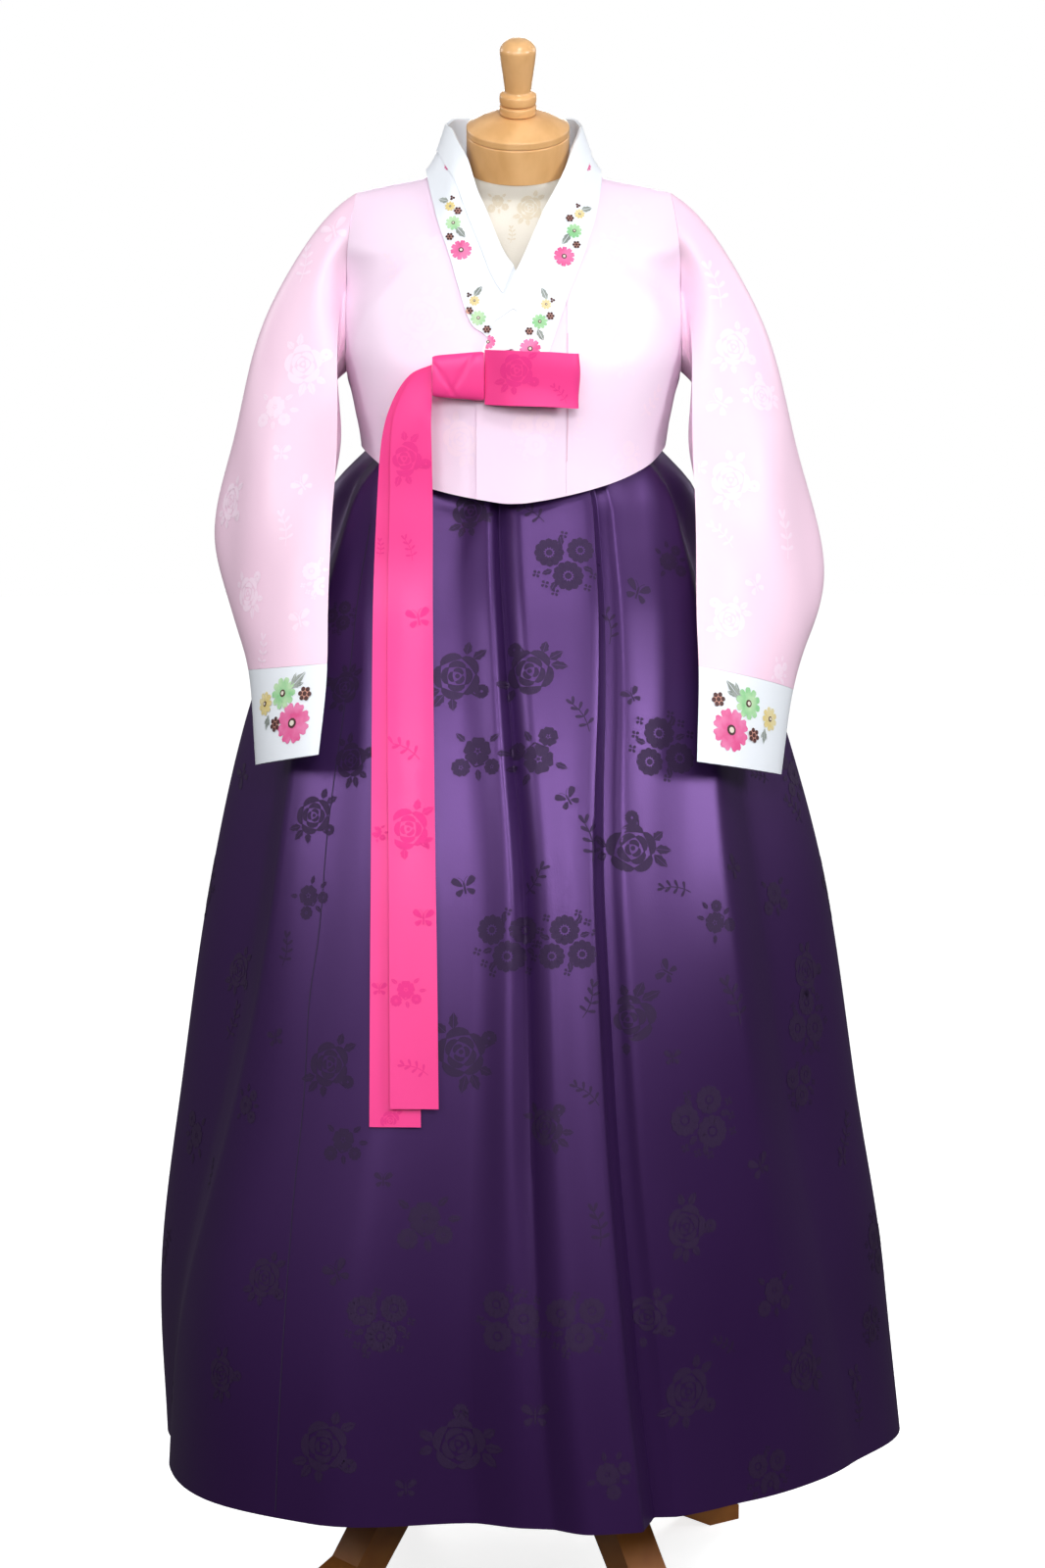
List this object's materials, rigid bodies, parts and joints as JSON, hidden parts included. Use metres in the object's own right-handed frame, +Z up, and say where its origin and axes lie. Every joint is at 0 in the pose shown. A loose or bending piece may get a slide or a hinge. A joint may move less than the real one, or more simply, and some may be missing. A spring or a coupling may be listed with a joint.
{
  "type": "korean hanbok on a dress form",
  "caption": "Korean hanbok of a short pink satin jacket with bow and a full purple wrap skirt, on a limbless dress form with a wooden neck block and splayed legs.",
  "frame": {"origin": "on the floor, under the middle of the whole outline", "axes": "+Z up, front of the dress towards -Y, +X towards the wearer's left"},
  "size_m": [0.85, 0.8066, 1.7509],
  "materials": {
    "pink_satin": "satin with woven flowers",
    "white_satin": "satin with embroidery",
    "trim_white": "plain matt cloth",
    "magenta_satin": "satin",
    "purple_satin": "satin with woven flowers",
    "torso_cloth": "matt cotton",
    "neck_wood": "varnished",
    "leg_wood": "varnished"
  },
  "bodies": {
    "root": {"form_torso": "torso_cloth", "form_neck_block": "neck_wood", "form_neck_lid": "neck_wood", "form_finial": "neck_wood", "stand_pole": "leg_wood", "stand_hub": "leg_wood", "stand_leg_1": "leg_wood", "stand_leg_2": "leg_wood", "stand_leg_3": "leg_wood", "stand_leg_4": "leg_wood", "chima_waistband": "purple_satin", "chima_width_back_right": "purple_satin", "chima_width_right": "purple_satin", "chima_width_front": "purple_satin", "chima_width_left": "purple_satin", "chima_width_back_left": "purple_satin", "jeogori_back": "pink_satin", "jeogori_front_right": "pink_satin", "jeogori_front_left": "pink_satin", "jeogori_overlap": "pink_satin", "sleeve_right": "pink_satin", "cuff_right": "white_satin", "sleeve_left": "pink_satin", "cuff_left": "white_satin", "collar_band": "white_satin", "collar_trim": "trim_white", "ribbon_tail_front": "magenta_satin", "ribbon_tail_back": "magenta_satin", "ribbon_loop": "magenta_satin", "ribbon_knot": "magenta_satin"}
  },
  "joints": []
}
